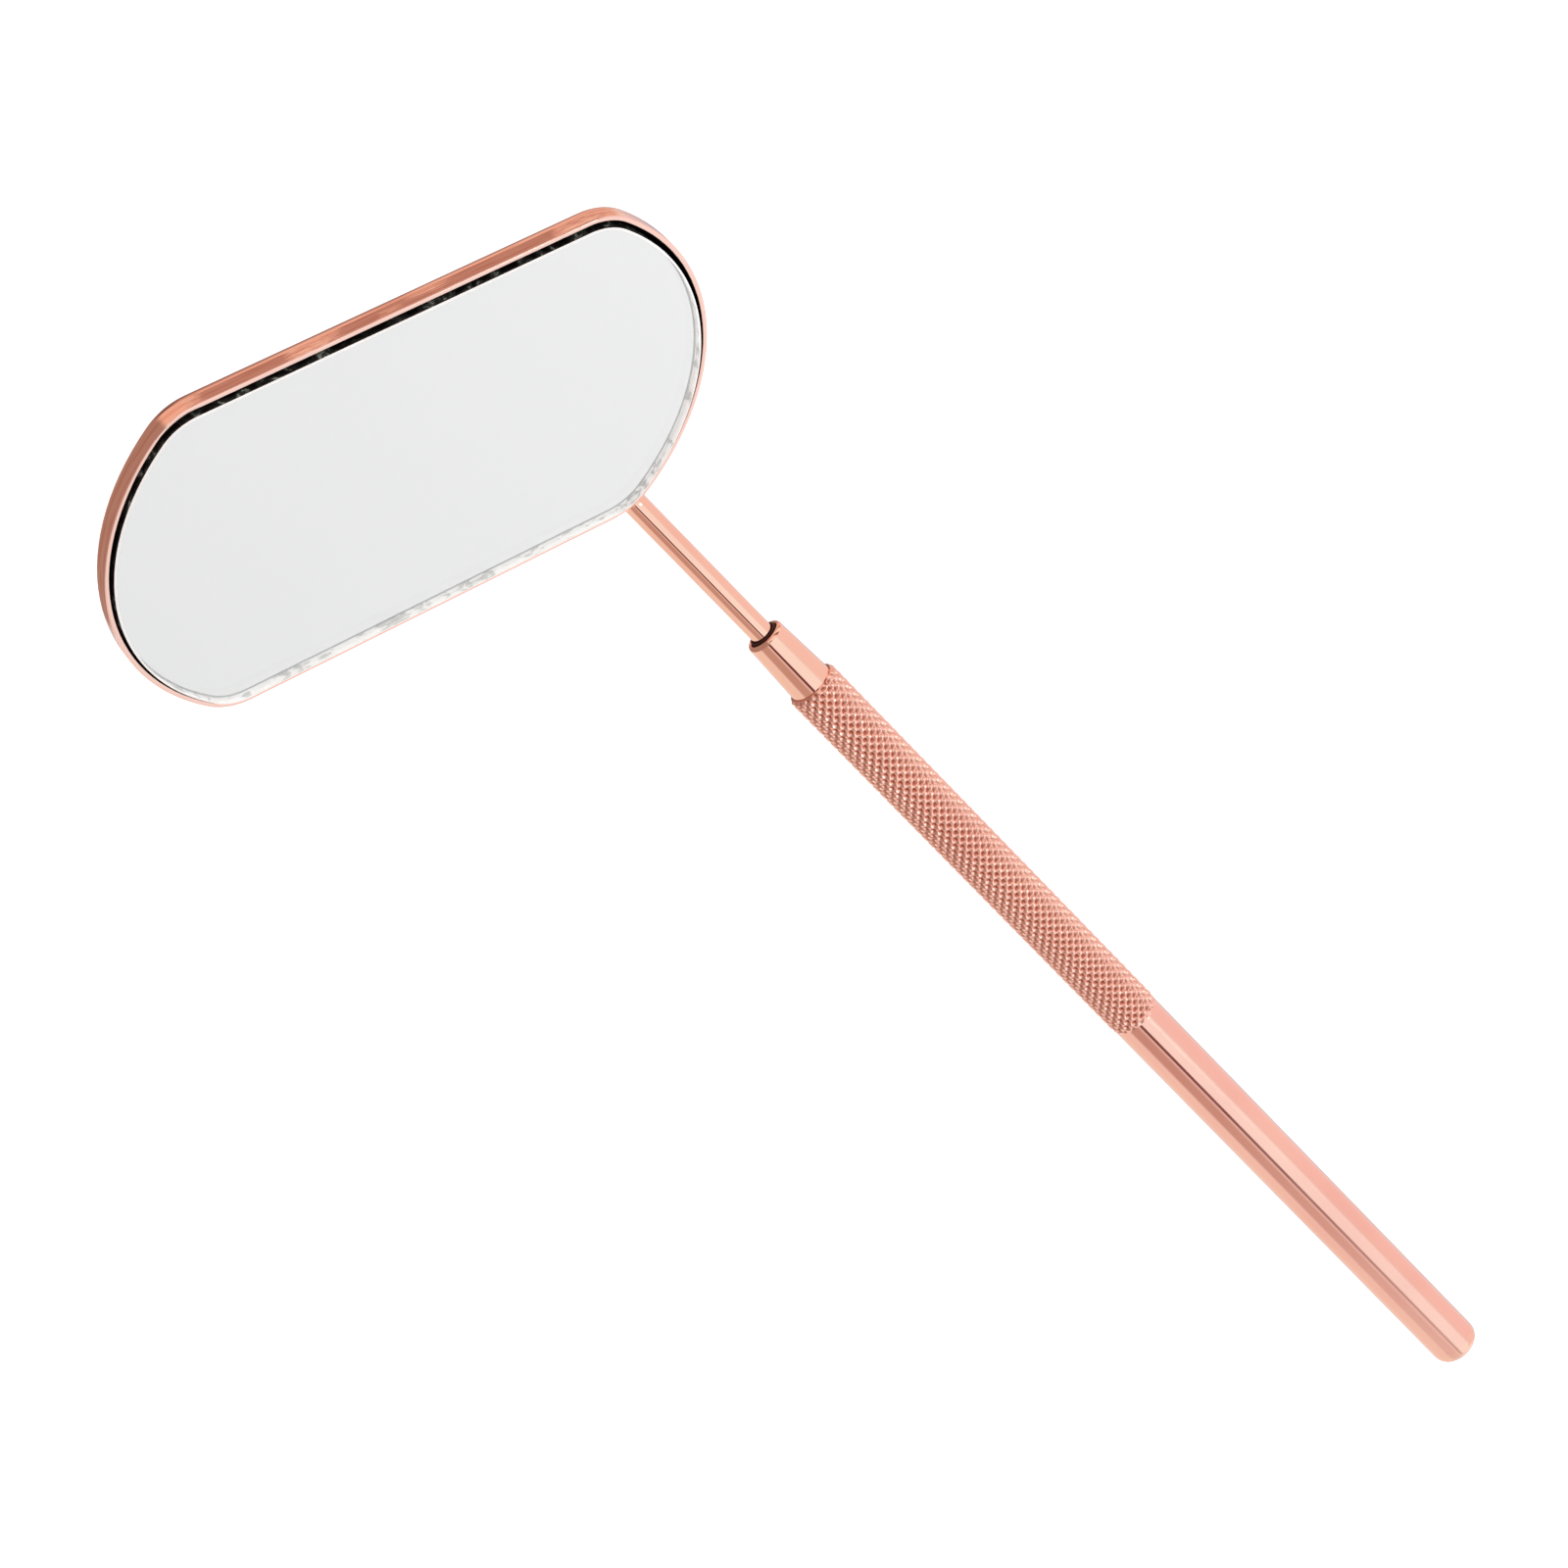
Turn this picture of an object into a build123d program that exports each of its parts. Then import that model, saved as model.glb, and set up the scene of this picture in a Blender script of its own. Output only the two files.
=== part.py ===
from build123d import *
import math
import os

# Hand mirror for mouth and lash work: a bevelled glass mirror glued into a plated steel tray, carried on a
# bent stem that screws into the nose of a tubular handle.
#
# Frame, in millimetres: the origin is the centre of the handle's tail end, on the handle's axis. +X points along
# the handle, from the tail towards the head. +Z is up, on the side that the mirror faces.
# The parts are drawn with x measured from the handle's mouth, and moved to the frame's origin as they are saved.

# ---- Handle -----------------------------------------------------------------------------------------------
HANDLE_LENGTH = 128.0
TUBE_D = 5.75
KNURL_D = 6.1
TUBE_WALL = 0.6
KNURL_LENGTH = 56.3
KNURL_CHAMFER = 0.35
NOSE_LENGTH = 7.8
NOSE_LIP_D = 4.4
NOSE_BACK_D = 5.0
NOSE_LIP_RADIUS = 0.5
MOUTH_CHAMFER = 0.2
TAIL_CAP_LENGTH = 1.8
TAIL_EDGE_RADIUS = 1.3
SPIGOT_LENGTH = 9.0
BRAZE_FILM = 0.01

# ---- Screw joint between stem and nose ----------------------------------------------------------------------
STEM_D = 2.57
THREAD_PITCH = 0.45
THREAD_START = 4.0
THREAD_LENGTH = 4.5
MALE_MAJOR_D = 2.44
MALE_MINOR_D = 1.9
FEMALE_MAJOR_D = 2.58
FEMALE_MINOR_D = 2.04
FLANK_ANGLE = 30.0
MALE_CREST = 0.07
FLANK_CLEARANCE = 0.035
THREAD_RUNOUT = 2.0
RIDGE_OVERLAP = 0.03
THREAD_TIP_CHAMFER = 0.35
RUNNING_CLEARANCE = 0.05
SEAL_POCKET_D = 3.3
SEAL_GAP = 0.03
SEAL_POCKET_DEPTH = 1.3
SEAL_PROUD = 0.15
SEAL_WIDTH = 0.9
SEAL_EDGE_RADIUS = 0.15

# ---- Head ---------------------------------------------------------------------------------------------------
HEAD_LENGTH = 66.2
HEAD_WIDTH = 39.9
HEAD_END_RADIUS = 25.0
HEAD_CORNER_RADIUS = 6.5
SHEET = 0.55
TRAY_DEPTH = 2.45
TRAY_BACK_RADIUS = 1.2
LIP_RADIUS = 0.14
GLASS_THICKNESS = 1.2
GLASS_GAP = 0.35
GLASS_SHIFT = (0.15, 0.0)
BEVEL_WIDTH = 0.2
BEVEL_DEPTH = 0.1
PAD_THICKNESS = 1.1
PAD_INSET = 1.2
PAINT_THICKNESS = 0.08
SILVER_THICKNESS = 0.05

# ---- Where the head sits on the stem ------------------------------------------------------------------------
BEND_DISTANCE = 21.6
BEND_RADIUS = 5.0
HEAD_TILT = 32.2
HEAD_TURN = 62.4
BEND_ON_HEAD = (-24.75, 21.9)
FOOT_LENGTH = 24.0
STEM_END_RADIUS = 0.6
BRAZE_UNDER_STEM = 0.06
BRAZE_START = 4.6
BRAZE_LENGTH = 20.6
BRAZE_WIDTH = 3.5
BRAZE_HEIGHT = 0.85
BRAZE_SLOPE = 27.0

TUBE_BORE = TUBE_D - 2 * TUBE_WALL
SPIGOT_D = TUBE_BORE - 2 * BRAZE_FILM


def along_handle(profile):
    """Turns a closed outline, drawn as (x along the handle, radius), into a solid about the handle's axis."""
    return revolve(Plane.XY * make_face(Polyline(*profile, close=True)), Axis.X)


def rod(x_from, x_to, diameter):
    """A plain cylinder on the handle's axis between two stations."""
    start = Plane(origin=(x_from, 0, 0), x_dir=(0, 1, 0), z_dir=(1, 0, 0))
    return extrude(start * Circle(diameter / 2), x_to - x_from)


def ridge_width(radius):
    """Width along the axis of the stem's thread ridge, at a radius."""
    return MALE_CREST + 2 * (MALE_MAJOR_D / 2 - radius) * math.tan(math.radians(FLANK_ANGLE))


def nose_ridge_width(radius):
    """Width of the nose's thread ridge, which fills the space between the stem's turns less the clearance."""
    return THREAD_PITCH - ridge_width(radius) - 2 * FLANK_CLEARANCE


def helical_ridge(root, crest, x_from, turns):
    """A right-hand thread ridge. Root and crest are each (radius, width along the axis)."""
    turn_axis = Plane(origin=(x_from, 0, 0), x_dir=(0, 1, 0), z_dir=(1, 0, 0))
    path = turn_axis * Helix(THREAD_PITCH, turns * THREAD_PITCH, root[0])
    section = Plane(origin=path @ 0, x_dir=(0, 1, 0), z_dir=path % 0)
    height = crest[0] - root[0]
    points = [(0, -root[1] / 2), (height, -crest[1] / 2), (height, crest[1] / 2), (0, root[1] / 2)]
    return sweep(section * make_face(Polyline(*points, close=True)), path, is_frenet=True)


# ---- Handle parts -------------------------------------------------------------------------------------------
def handle_tube():
    front = -NOSE_LENGTH
    knurl_end = front - KNURL_LENGTH
    back = -(HANDLE_LENGTH - TAIL_CAP_LENGTH)
    outside = [
        (front, KNURL_D / 2 - KNURL_CHAMFER),
        (front - KNURL_CHAMFER, KNURL_D / 2),
        (knurl_end + KNURL_CHAMFER / 2, KNURL_D / 2),
        (knurl_end, TUBE_D / 2),
        (back, TUBE_D / 2),
    ]
    inside = [(back, TUBE_BORE / 2), (front, TUBE_BORE / 2)]
    return along_handle(outside + inside)


def socket_nose():
    lip_r = NOSE_LIP_D / 2
    back_r = NOSE_BACK_D / 2
    spigot_end = -(NOSE_LENGTH + SPIGOT_LENGTH)
    body = along_handle(
        [
            (0, 0),
            (0, lip_r),
            (-2 * NOSE_LIP_RADIUS, lip_r),
            (-NOSE_LENGTH, back_r),
            (-NOSE_LENGTH, SPIGOT_D / 2),
            (spigot_end, SPIGOT_D / 2),
            (spigot_end, 0),
        ]
    )
    front_edge = body.edges().group_by(Axis.X)[-1]
    body = fillet(front_edge, NOSE_LIP_RADIUS)
    body -= rod(-SEAL_POCKET_DEPTH, 1, SEAL_POCKET_D)
    body -= rod(-THREAD_START, 0, STEM_D + 2 * RUNNING_CLEARANCE)
    thread_end = -(THREAD_START + THREAD_LENGTH)
    bore_end = thread_end - THREAD_RUNOUT
    body -= rod(bore_end, 0, FEMALE_MAJOR_D)
    body += nose_thread(thread_end)
    mouth_edge = body.edges().filter_by(GeomType.CIRCLE).group_by(Axis.X)[-1].sort_by(SortBy.RADIUS)[0]
    return chamfer(mouth_edge, MOUTH_CHAMFER)


def nose_thread(thread_end):
    """The ridge inside the nose, half a pitch out of step with the stem's ridge."""
    root_r = FEMALE_MAJOR_D / 2 + RIDGE_OVERLAP
    crest_r = FEMALE_MINOR_D / 2
    root = (root_r, nose_ridge_width(root_r))
    crest = (crest_r, nose_ridge_width(crest_r))
    turns = round(THREAD_LENGTH / THREAD_PITCH) + 2
    ridge = helical_ridge(root, crest, thread_end - 1.5 * THREAD_PITCH, turns)
    return ridge & rod(thread_end - THREAD_PITCH, -THREAD_START, TUBE_D)


def tail_plug():
    face = -HANDLE_LENGTH
    shoulder = face + TAIL_CAP_LENGTH
    plug = along_handle(
        [
            (face, 0),
            (face, TUBE_D / 2),
            (shoulder, TUBE_D / 2),
            (shoulder, SPIGOT_D / 2),
            (shoulder + SPIGOT_LENGTH, SPIGOT_D / 2),
            (shoulder + SPIGOT_LENGTH, 0),
        ]
    )
    end_edge = plug.edges().group_by(Axis.X)[0]
    return fillet(end_edge, TAIL_EDGE_RADIUS)


def seal_ring():
    """Rubber ring in the mouth, standing a little proud, with a running gap inside and out."""
    outer = rod(SEAL_PROUD - SEAL_WIDTH, SEAL_PROUD, SEAL_POCKET_D - 2 * SEAL_GAP)
    ring = outer - rod(-SEAL_WIDTH, SEAL_WIDTH, STEM_D + 2 * SEAL_GAP)
    return fillet(ring.edges(), SEAL_EDGE_RADIUS)


# ---- Stem ---------------------------------------------------------------------------------------------------
def head_directions():
    """The tray's normal, the foot's direction along the tray's back, and the tray's long axis."""
    tilt = math.radians(HEAD_TILT)
    turn = math.radians(HEAD_TURN)
    normal = Vector(-math.sin(tilt), 0, math.cos(tilt))
    foot = Vector(math.cos(tilt), 0, math.sin(tilt))
    long_axis = foot * math.cos(turn) + Vector(0, 1, 0) * math.sin(turn)
    return normal, foot, long_axis


def bend_point():
    return Vector(BEND_DISTANCE, 0, 0)


def stem_path():
    """Centre line of the smooth stem: straight out of the handle, bent, then flat along the tray's back."""
    _, foot, _ = head_directions()
    start = Vector(-THREAD_START + RUNNING_CLEARANCE, 0, 0)
    corner = bend_point()
    end = corner + foot * FOOT_LENGTH
    return FilletPolyline(start, corner, end, radius=BEND_RADIUS)


def stem_thread():
    tip = -(THREAD_START + THREAD_LENGTH)
    shoulder = -THREAD_START + 0.1
    root_r = MALE_MINOR_D / 2 - RIDGE_OVERLAP
    crest_r = MALE_MAJOR_D / 2
    root = (root_r, ridge_width(root_r))
    crest = (crest_r, ridge_width(crest_r))
    turns = round(THREAD_LENGTH / THREAD_PITCH) + 1
    ridge = helical_ridge(root, crest, tip - THREAD_PITCH, turns)
    envelope = rod(tip, shoulder, MALE_MAJOR_D + 0.2)
    envelope = chamfer(envelope.edges().group_by(Axis.X)[0], THREAD_TIP_CHAMFER)
    return (rod(tip, shoulder, MALE_MINOR_D) + ridge) & envelope


def smooth_stem():
    path = stem_path()
    start = Plane(origin=path @ 0, x_dir=(0, 1, 0), z_dir=path % 0)
    return sweep(start * Circle(STEM_D / 2), path)


def stem():
    shank = smooth_stem()
    far_edge = shank.edges().filter_by(GeomType.CIRCLE).sort_by(Axis.X)[-1]
    return fillet(far_edge, STEM_END_RADIUS) + stem_thread()


# ---- Head, drawn flat with its back face at z = 0 and its long side along x ---------------------------------
def head_outline(inset=0.0):
    """Two straight long sides, round ends, small rounded corners, all moved in by inset."""
    end_r = HEAD_END_RADIUS - inset
    corner_r = HEAD_CORNER_RADIUS - inset
    half_w = HEAD_WIDTH / 2 - inset
    end_x = HEAD_LENGTH / 2 - HEAD_END_RADIUS
    corner_y = half_w - corner_r
    corner_x = end_x + math.sqrt((end_r - corner_r) ** 2 - corner_y**2)
    join = math.atan2(corner_y, corner_x - end_x)
    meet_x = end_x + end_r * math.cos(join)
    meet_y = end_r * math.sin(join)
    middle = (join + math.pi / 2) / 2
    knee_x = corner_x + corner_r * math.cos(middle)
    knee_y = corner_y + corner_r * math.sin(middle)
    tip_x = end_x + end_r
    edges = [
        Line((-corner_x, half_w), (corner_x, half_w)),
        ThreePointArc((corner_x, half_w), (knee_x, knee_y), (meet_x, meet_y)),
        ThreePointArc((meet_x, meet_y), (tip_x, 0), (meet_x, -meet_y)),
        ThreePointArc((meet_x, -meet_y), (knee_x, -knee_y), (corner_x, -half_w)),
        Line((corner_x, -half_w), (-corner_x, -half_w)),
        ThreePointArc((-corner_x, -half_w), (-knee_x, -knee_y), (-meet_x, -meet_y)),
        ThreePointArc((-meet_x, -meet_y), (-tip_x, 0), (-meet_x, meet_y)),
        ThreePointArc((-meet_x, meet_y), (-knee_x, knee_y), (-corner_x, half_w)),
    ]
    return make_face(Wire(edges))


def flat_layer(inset, z_from, thickness, shift=(0, 0)):
    return extrude(Pos(shift[0], shift[1], z_from) * head_outline(inset), thickness)


def head_tray():
    outside = flat_layer(0, 0, TRAY_DEPTH)
    outside = fillet(outside.edges().group_by(Axis.Z)[0], TRAY_BACK_RADIUS)
    hollow = flat_layer(SHEET, SHEET, TRAY_DEPTH)
    hollow = fillet(hollow.edges().group_by(Axis.Z)[0], TRAY_BACK_RADIUS - SHEET)
    tray = outside - hollow
    return fillet(tray.edges().group_by(Axis.Z)[-1], LIP_RADIUS)


def glass_base():
    return SHEET + PAD_THICKNESS + PAINT_THICKNESS + SILVER_THICKNESS


def adhesive_pad():
    return flat_layer(SHEET + PAD_INSET, SHEET, PAD_THICKNESS)


def mirror_back_paint():
    return flat_layer(SHEET + GLASS_GAP, SHEET + PAD_THICKNESS, PAINT_THICKNESS, GLASS_SHIFT)


def mirror_silvering():
    z = SHEET + PAD_THICKNESS + PAINT_THICKNESS
    return flat_layer(SHEET + GLASS_GAP, z, SILVER_THICKNESS, GLASS_SHIFT)


def mirror_glass():
    glass = flat_layer(SHEET + GLASS_GAP, glass_base(), GLASS_THICKNESS, GLASS_SHIFT)
    front_edge = glass.edges().group_by(Axis.Z)[-1]
    face = glass.faces().sort_by(Axis.Z)[-1]
    return chamfer(front_edge, BEVEL_DEPTH, BEVEL_WIDTH, reference=face)


def stem_braze():
    """Bead of braze metal between the stem's foot and the tray's back, hollowed by the stem."""
    normal, foot, _ = head_directions()
    back_of_tray = bend_point() + normal * (STEM_D / 2 + BRAZE_UNDER_STEM)
    middle = back_of_tray + foot * (BRAZE_START + BRAZE_LENGTH / 2)
    outline = Plane(origin=middle, x_dir=foot, z_dir=-normal) * SlotOverall(BRAZE_LENGTH, BRAZE_WIDTH)
    return extrude(outline, BRAZE_HEIGHT, taper=BRAZE_SLOPE) - smooth_stem()


def place_head(shape):
    """Carries a shape drawn flat in the head's own frame to its place on the stem's foot."""
    normal, foot, long_axis = head_directions()
    across = normal.cross(long_axis)
    bend_on_back = bend_point() + normal * (STEM_D / 2 + BRAZE_UNDER_STEM)
    centre = bend_on_back - long_axis * BEND_ON_HEAD[0] - across * BEND_ON_HEAD[1]
    return Plane(origin=centre, x_dir=long_axis, z_dir=normal).location * shape


PARTS = {
    "handle_tube": handle_tube(),
    "socket_nose": socket_nose(),
    "tail_plug": tail_plug(),
    "seal_ring": seal_ring(),
    "stem": stem(),
    "stem_braze": stem_braze(),
    "head_tray": place_head(head_tray()),
    "adhesive_pad": place_head(adhesive_pad()),
    "mirror_back_paint": place_head(mirror_back_paint()),
    "mirror_silvering": place_head(mirror_silvering()),
    "mirror_glass": place_head(mirror_glass()),
}

os.makedirs("parts", exist_ok=True)
for name, shape in PARTS.items():
    export_step(Pos(HANDLE_LENGTH, 0, 0) * shape, f"parts/{name}.step")
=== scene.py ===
import math

import bpy
import numpy as np
from mathutils import Matrix, Vector


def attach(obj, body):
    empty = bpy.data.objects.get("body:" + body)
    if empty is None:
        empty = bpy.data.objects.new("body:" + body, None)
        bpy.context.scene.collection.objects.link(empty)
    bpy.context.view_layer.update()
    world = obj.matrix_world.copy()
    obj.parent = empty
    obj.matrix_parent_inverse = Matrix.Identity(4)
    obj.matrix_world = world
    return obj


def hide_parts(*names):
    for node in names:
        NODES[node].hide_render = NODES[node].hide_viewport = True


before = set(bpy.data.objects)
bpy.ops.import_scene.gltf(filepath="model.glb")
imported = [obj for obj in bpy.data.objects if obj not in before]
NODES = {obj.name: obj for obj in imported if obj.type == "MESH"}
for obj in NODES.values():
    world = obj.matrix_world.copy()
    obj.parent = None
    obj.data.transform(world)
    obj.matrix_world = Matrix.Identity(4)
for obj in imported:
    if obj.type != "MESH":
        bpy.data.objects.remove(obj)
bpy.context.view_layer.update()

MM = 0.001

# ---- Sizes shared with the CAD part, in millimetres --------------------------------------------------------
MOUTH_X = 128.0
TUBE_R = 2.875
BORE_R = 2.275
KNURL_R = 3.05
KNURL_FROM = 63.9
KNURL_TO = 120.2
TUBE_BACK = 1.8
KNURL_STARTS = 16
KNURL_PITCH = 1.18
KNURL_DEPTH = 0.5
KNURL_SHARPNESS = 1.5
KNURL_STEP = 0.1
COLUMNS_PER_START = 13
FRONT_CHAMFER = 0.35

HEAD_TILT = 32.2
HEAD_TURN = 62.4
BEND_X = MOUTH_X + 21.6
BEND_ON_HEAD = (-24.75, 21.9)
BACK_ABOVE_AXIS = 2.57 / 2 + 0.06
HEAD_LENGTH = 66.2
HEAD_WIDTH = 39.9
END_RADIUS = 25.0
CORNER_RADIUS = 6.5
SHEET = 0.55
TRAY_DEPTH = 2.45
GLASS_GAP = 0.35
GLASS_SHIFT = (0.15, 0.0)
GLASS_BOTTOM = 1.78
GLASS_TOP = 2.98
BEVEL_WIDTH = 0.2
BEVEL_DEPTH = 0.1

# ---- Camera: where it looks and how far off it stands, in millimetres, and its side and roll, in degrees ---
CAMERA_AIM = (113.82, 9.51, 0.0)
CAMERA_DISTANCE = 415.94
CAMERA_AZIMUTH = -6.73
CAMERA_ELEVATION = 64.86
CAMERA_ROLL = 142.48


# ---- Node material helpers ---------------------------------------------------------------------------------
class Nodes:
    """A thin wrapper that adds and links shader nodes by short calls."""

    def __init__(self, tree):
        self.tree = tree

    def add(self, kind, **inputs):
        node = self.tree.nodes.new(kind)
        for key, value in inputs.items():
            setattr(node, key, value)
        return node

    def link(self, source, target):
        self.tree.links.new(source, target)

    def math(self, operation, a, b=0.0, c=0.0, clamp=False):
        node = self.add("ShaderNodeMath", operation=operation, use_clamp=clamp)
        for socket, value in zip(node.inputs, (a, b, c)):
            if isinstance(value, (int, float)):
                socket.default_value = value
            else:
                self.link(value, socket)
        return node.outputs[0]

    def smooth(self, value, low, high, to_low=0.0, to_high=1.0):
        node = self.add("ShaderNodeMapRange", interpolation_type="SMOOTHSTEP")
        self.link(value, node.inputs["Value"])
        for key, number in (("From Min", low), ("From Max", high), ("To Min", to_low), ("To Max", to_high)):
            node.inputs[key].default_value = number
        return node.outputs["Result"]

    def mix(self, factor, a, b, blend="MIX"):
        node = self.add("ShaderNodeMix", data_type="RGBA", blend_type=blend)
        for socket, value in ((node.inputs[0], factor), (node.inputs[6], a), (node.inputs[7], b)):
            if isinstance(value, (int, float)):
                socket.default_value = value
            elif isinstance(value, tuple):
                socket.default_value = value if len(value) == 4 else (*value, 1.0)
            else:
                self.link(value, socket)
        return node.outputs[2]

    def noise(self, coords, scale, detail=3.0, rough=0.55, distortion=0.0):
        node = self.add("ShaderNodeTexNoise")
        self.link(coords, node.inputs["Vector"])
        node.inputs["Scale"].default_value = scale
        node.inputs["Detail"].default_value = detail
        node.inputs["Roughness"].default_value = rough
        node.inputs["Distortion"].default_value = distortion
        return node.outputs["Fac"]

    def stretched(self, coords, scale, rotation=(0, 0, 0)):
        node = self.add("ShaderNodeMapping")
        self.link(coords, node.inputs["Vector"])
        node.inputs["Scale"].default_value = scale
        node.inputs["Rotation"].default_value = rotation
        return node.outputs["Vector"]

    def bump(self, height, strength, distance, normal=None):
        node = self.add("ShaderNodeBump")
        self.link(height, node.inputs["Height"])
        node.inputs["Strength"].default_value = strength
        node.inputs["Distance"].default_value = distance
        if normal is not None:
            self.link(normal, node.inputs["Normal"])
        return node.outputs["Normal"]


def new_material(name):
    material = bpy.data.materials.new(name)
    material.use_nodes = True
    tree = material.node_tree
    tree.nodes.clear()
    n = Nodes(tree)
    out = n.add("ShaderNodeOutputMaterial")
    return material, n, out


def principled(n, out, base, metallic, roughness):
    shader = n.add("ShaderNodeBsdfPrincipled")
    if isinstance(base, tuple):
        shader.inputs["Base Color"].default_value = (*base, 1.0)
    else:
        n.link(base, shader.inputs["Base Color"])
    shader.inputs["Metallic"].default_value = metallic
    if isinstance(roughness, (int, float)):
        shader.inputs["Roughness"].default_value = roughness
    else:
        n.link(roughness, shader.inputs["Roughness"])
    n.link(shader.outputs[0], out.inputs["Surface"])
    return shader


ROSE = (0.93, 0.595, 0.47)
ROSE_WORN = (0.90, 0.55, 0.43)
KNURL_ROSE = (0.93, 0.57, 0.475)
KNURL_WORN = (0.90, 0.525, 0.44)
LIP_PAINTED_HIGHLIGHT = (0.93, 0.63, 0.55)
GAP_PAINTED_SHADE = (0.05, 0.025, 0.022)
STREAK_PAINTED_SHADE = (0.78, 0.42, 0.31)


def rose_gold(name, rough=0.06, scratch=0.05, base=ROSE, worn=ROSE_WORN, grain=(1.0, 1.0, 1.0), painted_pit_shade=False):
    """Polished rose-gold plating: faint tone drift, fingerprints in the gloss, hairline scratches, and with
    painted_pit_shade, painted shade in the knurl's pits.
    """
    material, n, out = new_material(name)
    place = n.add("ShaderNodeTexCoord").outputs["Object"]
    drift = n.noise(place, 60.0, 2.0)
    tone = n.mix(n.smooth(drift, 0.35, 0.7), base, worn)
    if painted_pit_shade:
        # Painted shade: the knurl's pits are darkened to a deep red-brown by their depth, standing in for the
        # shade inside them.
        depth = n.add("ShaderNodeAttribute", attribute_name="pit").outputs["Fac"]
        tone = n.mix(n.smooth(depth, 0.45, 0.95), tone, (0.55, 0.20, 0.14))
    smudge = n.noise(place, 260.0, 5.0, 0.65)
    gloss = n.math("MULTIPLY_ADD", smudge, rough * 0.8, rough * 0.6)
    hair = n.noise(n.stretched(place, grain), 5200.0, 4.0, 0.6)
    shader = principled(n, out, tone, 1.0, gloss)
    normal = n.bump(hair, scratch, 0.00002)
    waves = n.noise(place, 140.0, 2.0)
    n.link(n.bump(waves, 0.03, 0.0001, normal), shader.inputs["Normal"])
    return material


def tray_plating(name):
    """Rose-gold plating with drawing streaks on its wall, raised in the bump and painted as darker shade
    streaks, a painted highlight on the lip's top and painted shade in the gap.
    """
    material, n, out = new_material(name)
    place = n.add("ShaderNodeTexCoord").outputs["Object"]
    turn = n.add("ShaderNodeMapping")
    n.link(place, turn.inputs["Vector"])
    turn.inputs["Rotation"].default_value = head_matrix().to_3x3().inverted().to_euler("XYZ")
    flat = turn.outputs["Vector"]
    drift = n.noise(flat, 45.0, 2.0)
    tone = n.mix(n.smooth(drift, 0.35, 0.7), ROSE, ROSE_WORN)
    streaks = n.noise(n.stretched(flat, (0.04, 0.04, 1.0)), 2600.0, 3.0, 0.6)
    facing = n.add("ShaderNodeVectorMath", operation="DOT_PRODUCT")
    n.link(n.add("ShaderNodeTexCoord").outputs["Normal"], facing.inputs[0])
    facing.inputs[1].default_value = head_matrix().col[2].to_3d()
    wall = n.smooth(n.math("ABSOLUTE", facing.outputs["Value"]), 0.3, 0.8, 1.0, 0.0)
    # Painted shade: darker streaks are painted into the colour of the wall, standing in for the streaky light
    # and dark of its reflection; the same streaks are also raised in the bump below.
    streak_shade = n.math("MULTIPLY", n.smooth(streaks, 0.46, 0.58, 0.0, 0.75), wall)
    tone = n.mix(streak_shade, tone, STREAK_PAINTED_SHADE)
    height = n.add("ShaderNodeSeparateXYZ")
    n.link(flat, height.inputs[0])
    back = head_matrix().translation.dot(head_matrix().col[2].to_3d())
    lip = (back + TRAY_DEPTH) * MM
    # Painted highlight: the lip's flat top is painted a lighter rose, standing in for the bright line of
    # light it catches.
    tone = n.mix(n.smooth(height.outputs[2], lip - 0.0002, lip - 0.00005), tone, LIP_PAINTED_HIGHLIGHT)
    # Painted shade: where ambient occlusion finds the narrow gap between tray and glass, the colour is
    # painted near black.
    crevice = n.add("ShaderNodeAmbientOcclusion", samples=8)
    crevice.inputs["Distance"].default_value = 0.0015
    tone = n.mix(n.smooth(crevice.outputs["AO"], 0.25, 0.6), GAP_PAINTED_SHADE, tone)
    smudge = n.noise(place, 260.0, 5.0, 0.65)
    shader = principled(n, out, tone, 1.0, n.math("MULTIPLY_ADD", smudge, 0.05, 0.05))
    patches = n.smooth(n.noise(flat, 90.0, 2.0), 0.42, 0.60)
    relief = n.math("MULTIPLY", streaks, patches)
    n.link(n.bump(relief, 0.9, 0.0001), shader.inputs["Normal"])
    return material


def plain_material(name, base, roughness, gloss=0.5, bump_scale=900.0, bump_strength=0.15):
    material, n, out = new_material(name)
    place = n.add("ShaderNodeTexCoord").outputs["Object"]
    grain = n.noise(place, bump_scale, 4.0)
    darker = tuple(c * 0.75 for c in base)
    tone = n.mix(grain, darker, base)
    shader = principled(n, out, tone, 0.0, roughness)
    shader.inputs["Specular IOR Level"].default_value = gloss
    n.link(n.bump(grain, bump_strength, 0.00005), shader.inputs["Normal"])
    return material


def glass_material():
    """Clear float glass with a faint green body colour."""
    material, n, out = new_material("clear_float_glass")
    shader = n.add("ShaderNodeBsdfGlass")
    shader.inputs["Color"].default_value = (0.985, 0.995, 0.99, 1.0)
    shader.inputs["IOR"].default_value = 1.52
    shader.inputs["Roughness"].default_value = 0.0
    n.link(shader.outputs[0], out.inputs["Surface"])
    body = n.add("ShaderNodeVolumeAbsorption")
    body.inputs["Color"].default_value = (0.72, 0.90, 0.82, 1.0)
    body.inputs["Density"].default_value = 16.0
    n.link(body.outputs[0], out.inputs["Volume"])
    return material


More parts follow.
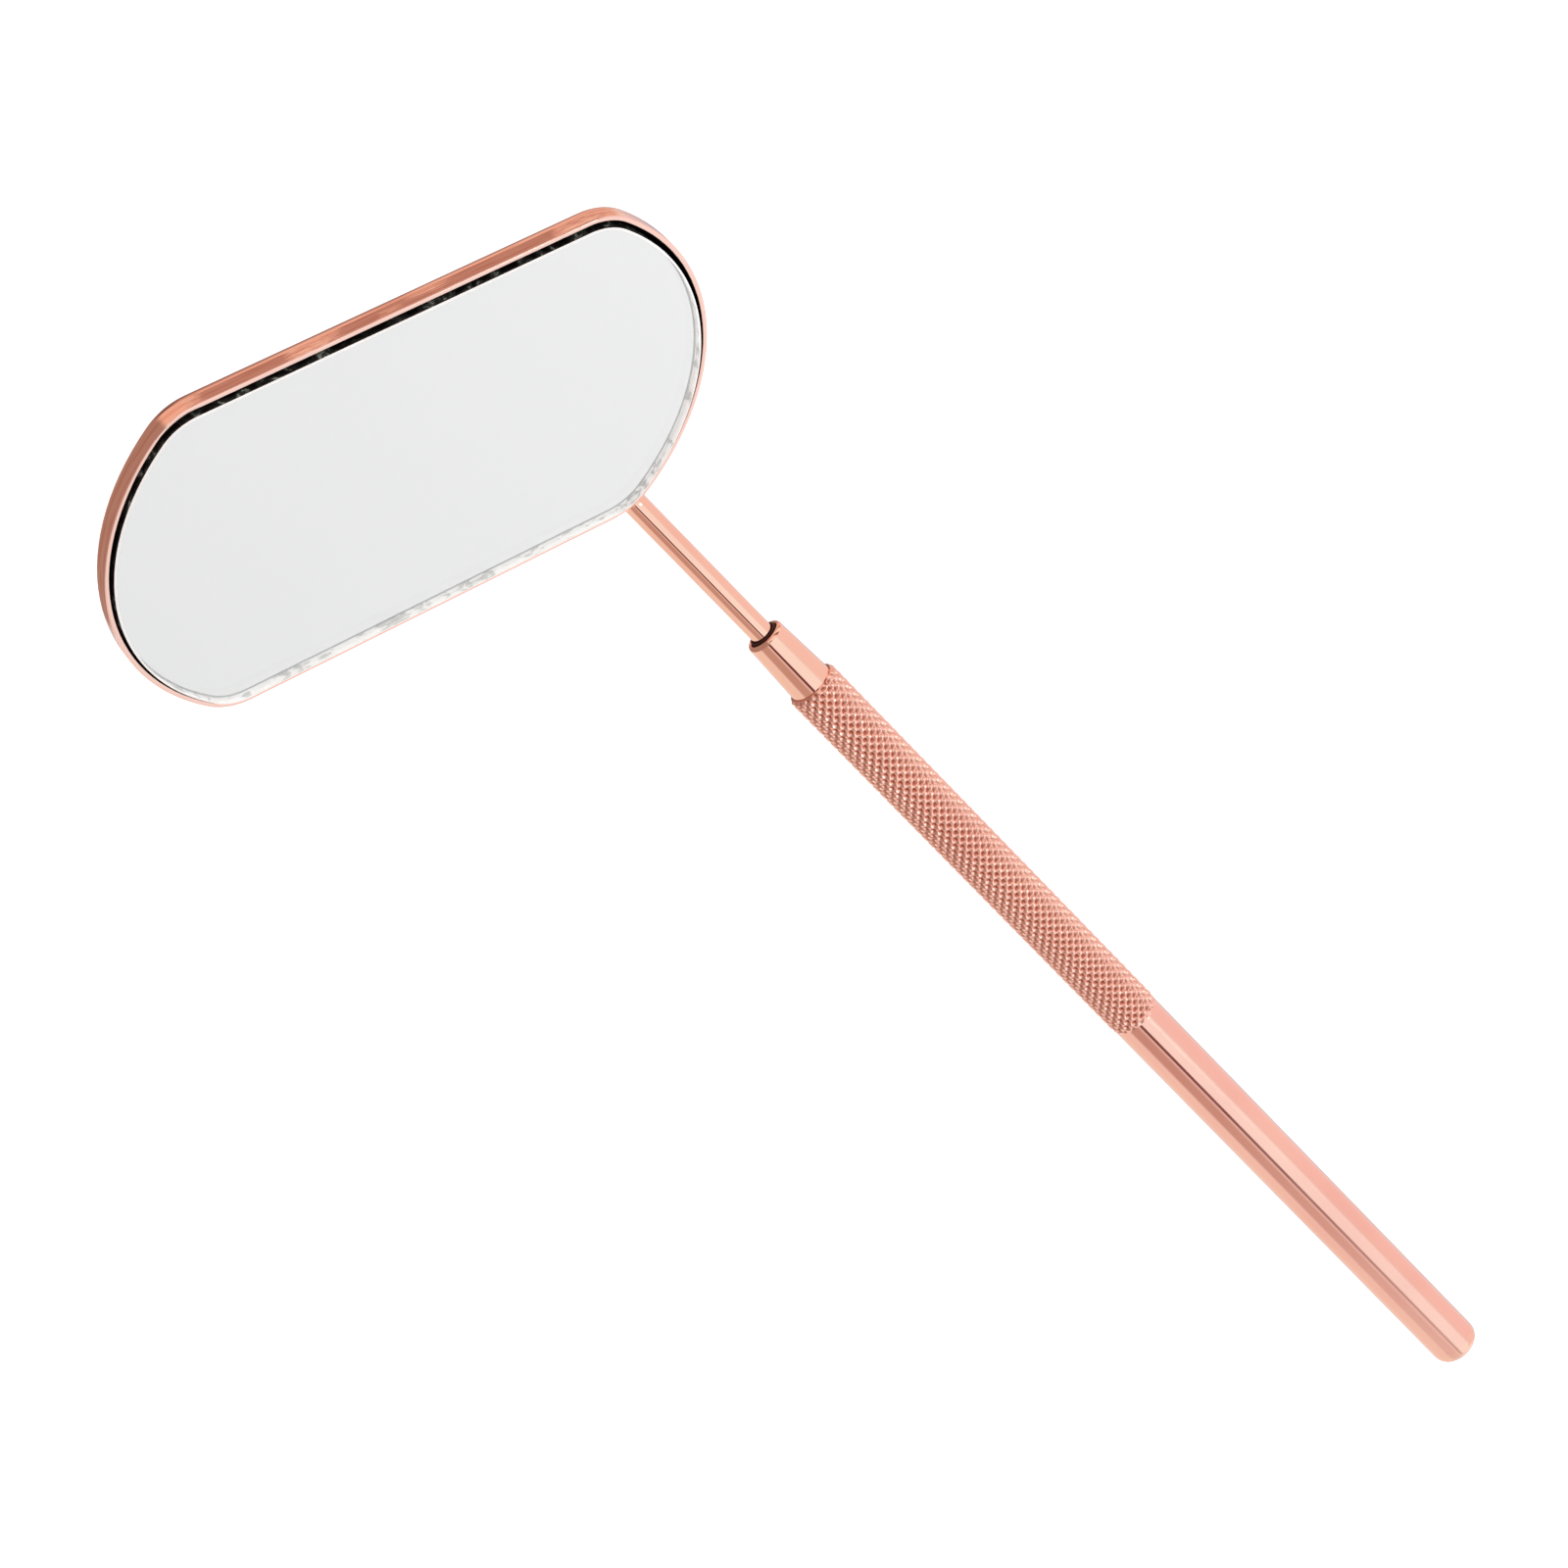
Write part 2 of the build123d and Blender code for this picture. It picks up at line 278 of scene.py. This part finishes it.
def ground_bevel_painted_glow():
    """The ground and half-polished bevel, with a painted glow (weak white emission) that lights it up white
    along the edge, and a cyan tint offsetting the pink room light.
    """
    material, n, out = new_material("ground_bevel_painted_glow")
    place = n.add("ShaderNodeTexCoord").outputs["Object"]
    grain = n.noise(place, 9000.0, 3.0)
    shader = principled(n, out, (0.93, 0.97, 0.97), 0.0, 0.35)
    # Painted glow: a weak white emission makes the bevel shine white along the edge.
    shader.inputs["Emission Color"].default_value = (1.0, 1.0, 1.0, 1.0)
    shader.inputs["Emission Strength"].default_value = 0.16
    n.link(n.bump(grain, 0.4, 0.00003), shader.inputs["Normal"])
    return material


def cut_edge():
    """The cut side of the glass, chipped: from outside painted almost black with painted glints, standing in
    for the shade and stray light seen into the edge; pale with a painted glow when seen through the face.
    """
    material, n, out = new_material("cut_glass_edge")
    place = n.add("ShaderNodeTexCoord").outputs["Object"]
    chips = n.noise(place, 420.0, 3.0, 0.6, 1.2)
    fine = n.noise(place, 1900.0, 2.0, 0.6, 0.8)
    # Painted shade: from outside the edge is painted near black with a faint mottle.
    tone = n.mix(n.smooth(chips, 0.42, 0.60), (0.006, 0.006, 0.006), (0.035, 0.042, 0.038))
    # Painted glints: pale green-grey flecks painted into the colour.
    painted_glints = n.math("MULTIPLY", n.smooth(chips, 0.55, 0.64), n.smooth(fine, 0.42, 0.56))
    tone = n.mix(painted_glints, tone, (0.34, 0.42, 0.38))
    outside = n.add("ShaderNodeBsdfPrincipled")
    n.link(tone, outside.inputs["Base Color"])
    outside.inputs["Roughness"].default_value = 0.3
    outside.inputs["Specular IOR Level"].default_value = 0.25
    n.link(n.bump(fine, 0.5, 0.00006), outside.inputs["Normal"])
    inside = n.add("ShaderNodeBsdfGlass")
    inside.inputs["IOR"].default_value = 1.52
    inside.inputs["Roughness"].default_value = 0.12
    frosted = n.add("ShaderNodeBsdfPrincipled")
    # Painted glow: seen through the face the edge is frosted white and grey with emission, so it shines pale.
    ripple = n.mix(n.smooth(chips, 0.50, 0.62), (0.97, 0.98, 0.97), (0.55, 0.57, 0.56))
    n.link(ripple, frosted.inputs["Base Color"])
    n.link(ripple, frosted.inputs["Emission Color"])
    frosted.inputs["Roughness"].default_value = 0.6
    frosted.inputs["Emission Strength"].default_value = 0.75
    pale = n.add("ShaderNodeMixShader")
    pale.inputs[0].default_value = 0.75
    n.link(inside.outputs[0], pale.inputs[1])
    n.link(frosted.outputs[0], pale.inputs[2])
    side = n.add("ShaderNodeMixShader")
    n.link(n.add("ShaderNodeNewGeometry").outputs["Backfacing"], side.inputs[0])
    n.link(outside.outputs[0], side.inputs[1])
    n.link(pale.outputs[0], side.inputs[2])
    n.link(side.outputs[0], out.inputs["Surface"])
    return material


def silver_material():
    material, n, out = new_material("silver_film")
    place = n.add("ShaderNodeTexCoord").outputs["Object"]
    cloud = n.noise(place, 40.0, 2.0)
    tone = n.mix(cloud, (0.85, 0.832, 0.84), (0.862, 0.844, 0.852))
    principled(n, out, tone, 1.0, 0.0)
    return material


# ---- Meshes ------------------------------------------------------------------------------------------------
def mesh_object(name, points, faces, smooth=True):
    mesh = bpy.data.meshes.new(name)
    mesh.from_pydata(points, [], faces)
    mesh.validate()
    for polygon in mesh.polygons:
        polygon.use_smooth = smooth
    mesh.update()
    obj = bpy.data.objects.new(name, mesh)
    bpy.context.scene.collection.objects.link(obj)
    return obj


def knurl_groove(turns):
    """How deep a point lies in one family of soft grooves: 1 on the groove's line, 0 halfway between two."""
    return 0.5 + 0.5 * np.cos(2 * np.pi * turns)


def smoothstep(low, high, value):
    t = np.clip((value - low) / (high - low), 0, 1)
    return t * t * (3 - 2 * t)


def handle_stations():
    """Stations along the handle tube: fine over the knurling, coarse over the plain tube."""
    plain = np.linspace(TUBE_BACK, KNURL_FROM - 0.6, 40)
    knurled = np.arange(KNURL_FROM - 0.5, KNURL_TO, KNURL_STEP)
    return np.concatenate([plain, knurled, [KNURL_TO - 0.04, KNURL_TO]])


def knurled_handle():
    """The handle tube with real diamond knurling cut by two crossing families of helical grooves."""
    columns = KNURL_STARTS * COLUMNS_PER_START
    xs = handle_stations()
    angle = np.arange(columns) * (2 * np.pi / columns)
    x, a = np.meshgrid(xs, angle, indexing="ij")
    along = (x - KNURL_FROM) / KNURL_PITCH
    around = KNURL_STARTS * a / (2 * np.pi)
    left = knurl_groove(around + along)
    right = knurl_groove(around - along)
    cut = ((left + right) / 2) ** KNURL_SHARPNESS
    knurled = KNURL_R - KNURL_DEPTH * cut
    fade = smoothstep(KNURL_FROM - 0.15, KNURL_FROM + 0.3, x)
    radius = TUBE_R + (knurled - TUBE_R) * fade
    front = np.clip((x - (KNURL_TO - FRONT_CHAMFER)) / FRONT_CHAMFER, 0, 1)
    radius = np.minimum(radius, KNURL_R - 0.05 - 0.33 * front)
    pit = cut * fade
    points = np.stack([x, radius * np.cos(a), radius * np.sin(a)], axis=-1).reshape(-1, 3)
    bore = []
    for station in (KNURL_TO, TUBE_BACK):
        for t in angle:
            bore.append((station, BORE_R * math.cos(t), BORE_R * math.sin(t)))
    points = np.concatenate([points, np.array(bore)]) * MM
    rings = len(xs) + 2
    faces = []
    for i in range(rings):
        here = i * columns
        there = (i + 1) % rings * columns
        for j in range(columns):
            k = (j + 1) % columns
            faces.append((here + j, here + k, there + k, there + j))
    obj = mesh_object("knurled_handle_tube", points.tolist(), faces)
    end_rings = {0, len(xs) - 1, len(xs), len(xs) + 1}
    for edge in obj.data.edges:
        a, b = (v // columns for v in edge.vertices)
        edge.use_edge_sharp = a == b and a in end_rings
    values = np.zeros(len(points), dtype=np.float32)
    values[: pit.size] = pit.reshape(-1)
    layer = obj.data.attributes.new("pit", "FLOAT", "POINT")
    layer.data.foreach_set("value", values)
    return obj


def outline(inset, count=60):
    """The head's outline moved in by inset, counter-clockwise. Each stretch of a quarter has count points."""
    end_r = END_RADIUS - inset
    corner_r = CORNER_RADIUS - inset
    half_w = HEAD_WIDTH / 2 - inset
    end_x = HEAD_LENGTH / 2 - END_RADIUS
    corner_y = half_w - corner_r
    corner_x = end_x + math.sqrt((end_r - corner_r) ** 2 - corner_y**2)
    join = math.atan2(corner_y, corner_x - end_x)
    quarter = []
    for i in range(count):
        t = join * i / count
        quarter.append((end_x + end_r * math.cos(t), end_r * math.sin(t)))
    for i in range(count):
        t = join + (math.pi / 2 - join) * i / count
        quarter.append((corner_x + corner_r * math.cos(t), corner_y + corner_r * math.sin(t)))
    for i in range(count):
        quarter.append((corner_x * (1 - i / count), half_w))
    top = quarter + [(-x, y) for x, y in [(0.0, half_w)] + quarter[:0:-1]]
    return top + [(-x, -y) for x, y in top]


def head_matrix():
    """From the flat head, back face at z = 0, to its place on the stem, in millimetres."""
    tilt = math.radians(HEAD_TILT)
    turn = math.radians(HEAD_TURN)
    normal = Vector((-math.sin(tilt), 0, math.cos(tilt)))
    foot = Vector((math.cos(tilt), 0, math.sin(tilt)))
    long_axis = foot * math.cos(turn) + Vector((0, 1, 0)) * math.sin(turn)
    across = normal.cross(long_axis)
    centre = Vector((BEND_X, 0, 0)) + normal * BACK_ABOVE_AXIS
    centre -= long_axis * BEND_ON_HEAD[0] + across * BEND_ON_HEAD[1]
    columns = Matrix((long_axis, across, normal)).transposed().to_4x4()
    return Matrix.Translation(centre) @ columns


def stacked_rings(name, rings, matrix):
    """Joins rings of equal length into one closed solid, its two ends flat and its ring edges crisp."""
    count = len(rings[0])
    points = [tuple((matrix @ Vector(p)) * MM) for ring in rings for p in ring]
    faces = [tuple(reversed(range(count)))]
    for r in range(len(rings) - 1):
        for j in range(count):
            k = (j + 1) % count
            a = r * count
            b = a + count
            faces.append((a + j, a + k, b + k, b + j))
    last = (len(rings) - 1) * count
    faces.append(tuple(range(last, last + count)))
    obj = mesh_object(name, points, faces)
    for edge in obj.data.edges:
        a, b = edge.vertices
        edge.use_edge_sharp = a // count == b // count
    return obj


def bevelled_glass(matrix):
    shift_x, shift_y = GLASS_SHIFT
    inset = SHEET + GLASS_GAP

    def ring(extra, z):
        return [(x + shift_x, y + shift_y, z) for x, y in outline(inset + extra)]

    wall_top = GLASS_TOP - BEVEL_DEPTH
    rings = [ring(0, GLASS_BOTTOM - 0.01), ring(0, wall_top), ring(BEVEL_WIDTH, GLASS_TOP)]
    obj = stacked_rings("bevelled_glass", rings, matrix)
    count = len(rings[0])
    for polygon in obj.data.polygons:
        if len(polygon.vertices) == 4:
            polygon.material_index = 1 if max(polygon.vertices) >= 2 * count else 2
    return obj


# ---- The object --------------------------------------------------------------------------------------------
POLISHED = rose_gold("rose_gold_polished", rough=0.05, scratch=0.04, grain=(0.06, 1.0, 1.0))
KNURLED = rose_gold(
    "rose_gold_knurled", rough=0.10, scratch=0.05, base=KNURL_ROSE, worn=KNURL_WORN, painted_pit_shade=True
)
TRAY = tray_plating("rose_gold_tray")
BRAZE = rose_gold("rose_gold_braze", rough=0.2, scratch=0.2)

for node, material in (
    ("socket_nose", POLISHED),
    ("tail_plug", POLISHED),
    ("stem", POLISHED),
    ("head_tray", TRAY),
    ("stem_braze", BRAZE),
    # Painted shade: the ring in the nose's mouth round the stem is given a dark red-brown tone standing in
    # for the shade in the gap there.
    ("seal_ring", plain_material("mouth_ring_painted_shade", (0.06, 0.018, 0.012), 0.7, gloss=0.2)),
    ("adhesive_pad", plain_material("dark_adhesive", (0.03, 0.028, 0.025), 0.3)),
    ("mirror_back_paint", plain_material("backing_paint", (0.05, 0.03, 0.025), 0.5)),
    ("mirror_silvering", silver_material()),
):
    mesh = NODES[node].data
    mesh.materials.clear()
    mesh.materials.append(material)

tube = knurled_handle()
tube.data.materials.append(KNURLED)
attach(tube, "handle")
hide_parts("handle_tube")

glass = bevelled_glass(head_matrix())
glass.data.materials.append(glass_material())
glass.data.materials.append(ground_bevel_painted_glow())
glass.data.materials.append(cut_edge())
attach(glass, "head")
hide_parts("mirror_glass")


# ---- Stage -------------------------------------------------------------------------------------------------
# The studio that the plating reflects: a pale room with a few large panels round the handle's axis. A panel
# is (from, to, softness, colour), in degrees about the axis: 0 is straight up, positive towards +Y.
ROOM = (0.96, 0.88, 0.86)
FLOOR_SHADE = (0.52, 0.48, 0.56)
ROSE_WALL = (-125, -65, 20, (1.02, 0.85, 0.83))
SOFTBOX = (-38, 2, 14, (1.06, 1.12, 1.14))
DARK_GAP = (10, 18, 4, (0.18, 0.06, 0.07))
BROWN_WALL = (34, 62, 16, (0.62, 0.43, 0.37))
PALE_WALL = (85, 150, 8, (0.97, 0.86, 0.78))
HANDLE_PANELS = (ROSE_WALL, SOFTBOX, PALE_WALL)
SIDE_PANELS = (BROWN_WALL, DARK_GAP)

# What the tray's walls see: mostly their own plating, with the bright and dark bars of a window.
TRAY_ROOM = (0.95, 0.66, 0.56)
TRAY_SHADE = (0.26, 0.17, 0.16)
TRAY_PANELS = (
    (-122, -116, 3, (0.55, 0.33, 0.28)),
    (-99, -86, 3, (1.15, 1.20, 1.15)),
    (-72, -58, 5, (0.33, 0.17, 0.14)),
    (-44, 20, 8, (1.05, 0.94, 0.89)),
    (70, 150, 25, (0.46, 0.31, 0.27)),
)
BROWN = (0.46, 0.31, 0.265)
LENS = (0.16, 0.07, 0.06)

# Two small lamps that only the knurling's crests catch, each written as a panel is. LAMP_SPAN is the range
# of directions along the handle that both lie in: from, to, softness.
KEY_LAMP = (-38, -28, 2, (13.0, 13.0, 13.0))
WARM_LAMP = (106, 120, 4, (2.6, 2.6, 1.9))
LAMP_SPAN = (-0.46, -0.43, 0.015)

LENS_INNER = 8
LENS_OUTER = 12
BACKDROP_LEVEL = 1.03
BACKDROP_SLOPE = -0.44
FLOOR_SIZE = 3.0
FLOOR_HEIGHT = -0.045


def to_camera():
    """The direction from the object to the camera."""
    azimuth = math.radians(CAMERA_AZIMUTH)
    elevation = math.radians(CAMERA_ELEVATION)
    level = math.cos(elevation)
    return Vector((level * math.cos(azimuth), level * math.sin(azimuth), math.sin(elevation)))


def window(n, value, low, high, soft):
    """1 between low and high, falling to 0 over soft on either side."""
    rise = n.smooth(value, low - soft, low)
    fall = n.smooth(value, high, high + soft, 1.0, 0.0)
    return n.math("MULTIPLY", rise, fall)


def patch(n, direction, towards, inner, outer):
    """1 within inner degrees of a direction, falling to 0 at outer degrees."""
    dot = n.add("ShaderNodeVectorMath", operation="DOT_PRODUCT")
    n.link(direction, dot.inputs[0])
    dot.inputs[1].default_value = Vector(towards).normalized()
    return n.smooth(dot.outputs["Value"], math.cos(math.radians(outer)), math.cos(math.radians(inner)))


def with_panels(n, degrees, room, shade, panels):
    """A room with panels over it, and the shade of the floor below the object."""
    below = n.smooth(n.math("ABSOLUTE", degrees), 140, 175)
    colour = n.mix(below, room, shade)
    for low, high, soft, tone in panels:
        colour = n.mix(window(n, degrees, low, high, soft), colour, tone)
    return colour


def studio_world():
    world = bpy.data.worlds.new("studio")
    bpy.context.scene.world = world
    world.use_nodes = True
    world.node_tree.nodes.clear()
    n = Nodes(world.node_tree)
    direction = n.add("ShaderNodeTexCoord").outputs["Generated"]
    split = n.add("ShaderNodeSeparateXYZ")
    n.link(direction, split.inputs[0])
    x, y, z = split.outputs
    degrees = n.math("MULTIPLY", n.math("ARCTAN2", y, z), 180 / math.pi)
    open_end = with_panels(n, degrees, ROOM, FLOOR_SHADE, HANDLE_PANELS)
    handle = with_panels(n, degrees, ROOM, FLOOR_SHADE, HANDLE_PANELS + SIDE_PANELS)
    tray = with_panels(n, degrees, TRAY_ROOM, TRAY_SHADE, TRAY_PANELS)
    around = n.mix(n.smooth(x, -0.62, -0.53, 0.3, 1.0), open_end, handle)
    around = n.mix(n.smooth(x, -0.05, 0.10), around, tray)
    spread = n.math("SQRT", n.math("ADD", n.math("MULTIPLY", y, y), n.math("MULTIPLY", z, z)))
    grey = n.math("MULTIPLY_ADD", y, BACKDROP_SLOPE, BACKDROP_LEVEL)
    grey_colour = n.add("ShaderNodeCombineColor")
    for socket in grey_colour.inputs[:3]:
        n.link(grey, socket)
    pole = n.mix(n.smooth(x, -0.2, 0.2), grey_colour.outputs[0], (0.96, 0.66, 0.55))
    studio = n.mix(n.smooth(spread, 0.34, 0.60), pole, around)
    brown = n.math("MULTIPLY", n.smooth(y, 0.06, 0.22), n.smooth(x, -0.24, -0.12))
    studio = n.mix(brown, studio, BROWN)
    studio = n.mix(patch(n, direction, to_camera(), LENS_INNER, LENS_OUTER), studio, LENS)
    along = window(n, x, *LAMP_SPAN)
    for low, high, soft, colour in (KEY_LAMP, WARM_LAMP):
        lit = n.math("MULTIPLY", window(n, degrees, low, high, soft), along)
        studio = n.mix(lit, studio, colour)
    seen = n.add("ShaderNodeLightPath").outputs["Is Camera Ray"]
    colour = n.mix(seen, studio, (1.0, 1.0, 1.0))
    background = n.add("ShaderNodeBackground")
    n.link(colour, background.inputs["Color"])
    out = n.add("ShaderNodeOutputWorld")
    n.link(background.outputs[0], out.inputs["Surface"])


def floor():
    corners = ((-1, -1), (1, -1), (1, 1), (-1, 1))
    points = [(x * FLOOR_SIZE, y * FLOOR_SIZE, FLOOR_HEIGHT) for x, y in corners]
    obj = mesh_object("floor", points, [(0, 1, 2, 3)], smooth=False)
    material, n, out = new_material("pale_floor")
    glow = n.add("ShaderNodeEmission")
    glow.inputs["Color"].default_value = (1.0, 1.0, 1.0, 1.0)
    glow.inputs["Strength"].default_value = 0.85
    matt = n.add("ShaderNodeBsdfDiffuse")
    matt.inputs["Color"].default_value = (0.5, 0.5, 0.5, 1.0)
    both = n.add("ShaderNodeAddShader")
    n.link(glow.outputs[0], both.inputs[0])
    n.link(matt.outputs[0], both.inputs[1])
    n.link(both.outputs[0], out.inputs["Surface"])
    obj.data.materials.append(material)
    obj.visible_glossy = False
    obj.visible_transmission = False


def camera():
    data = bpy.data.cameras.new("camera")
    data.lens = 90.0
    data.sensor_width = 36.0
    data.clip_start = 0.01
    data.clip_end = 10.0
    obj = bpy.data.objects.new("camera", data)
    back = to_camera()
    level = Vector((0, 0, 1)).cross(back).normalized()
    turn = Matrix((level, back.cross(level), back)).transposed().to_4x4()
    turn = turn @ Matrix.Rotation(math.radians(CAMERA_ROLL), 4, "Z")
    place = Vector(CAMERA_AIM) + back * CAMERA_DISTANCE
    obj.matrix_world = Matrix.Translation(place * MM) @ turn
    bpy.context.scene.collection.objects.link(obj)
    bpy.context.scene.camera = obj


studio_world()
floor()
camera()
bpy.context.scene.view_settings.view_transform = "Standard"
bpy.context.scene.view_settings.look = "None"
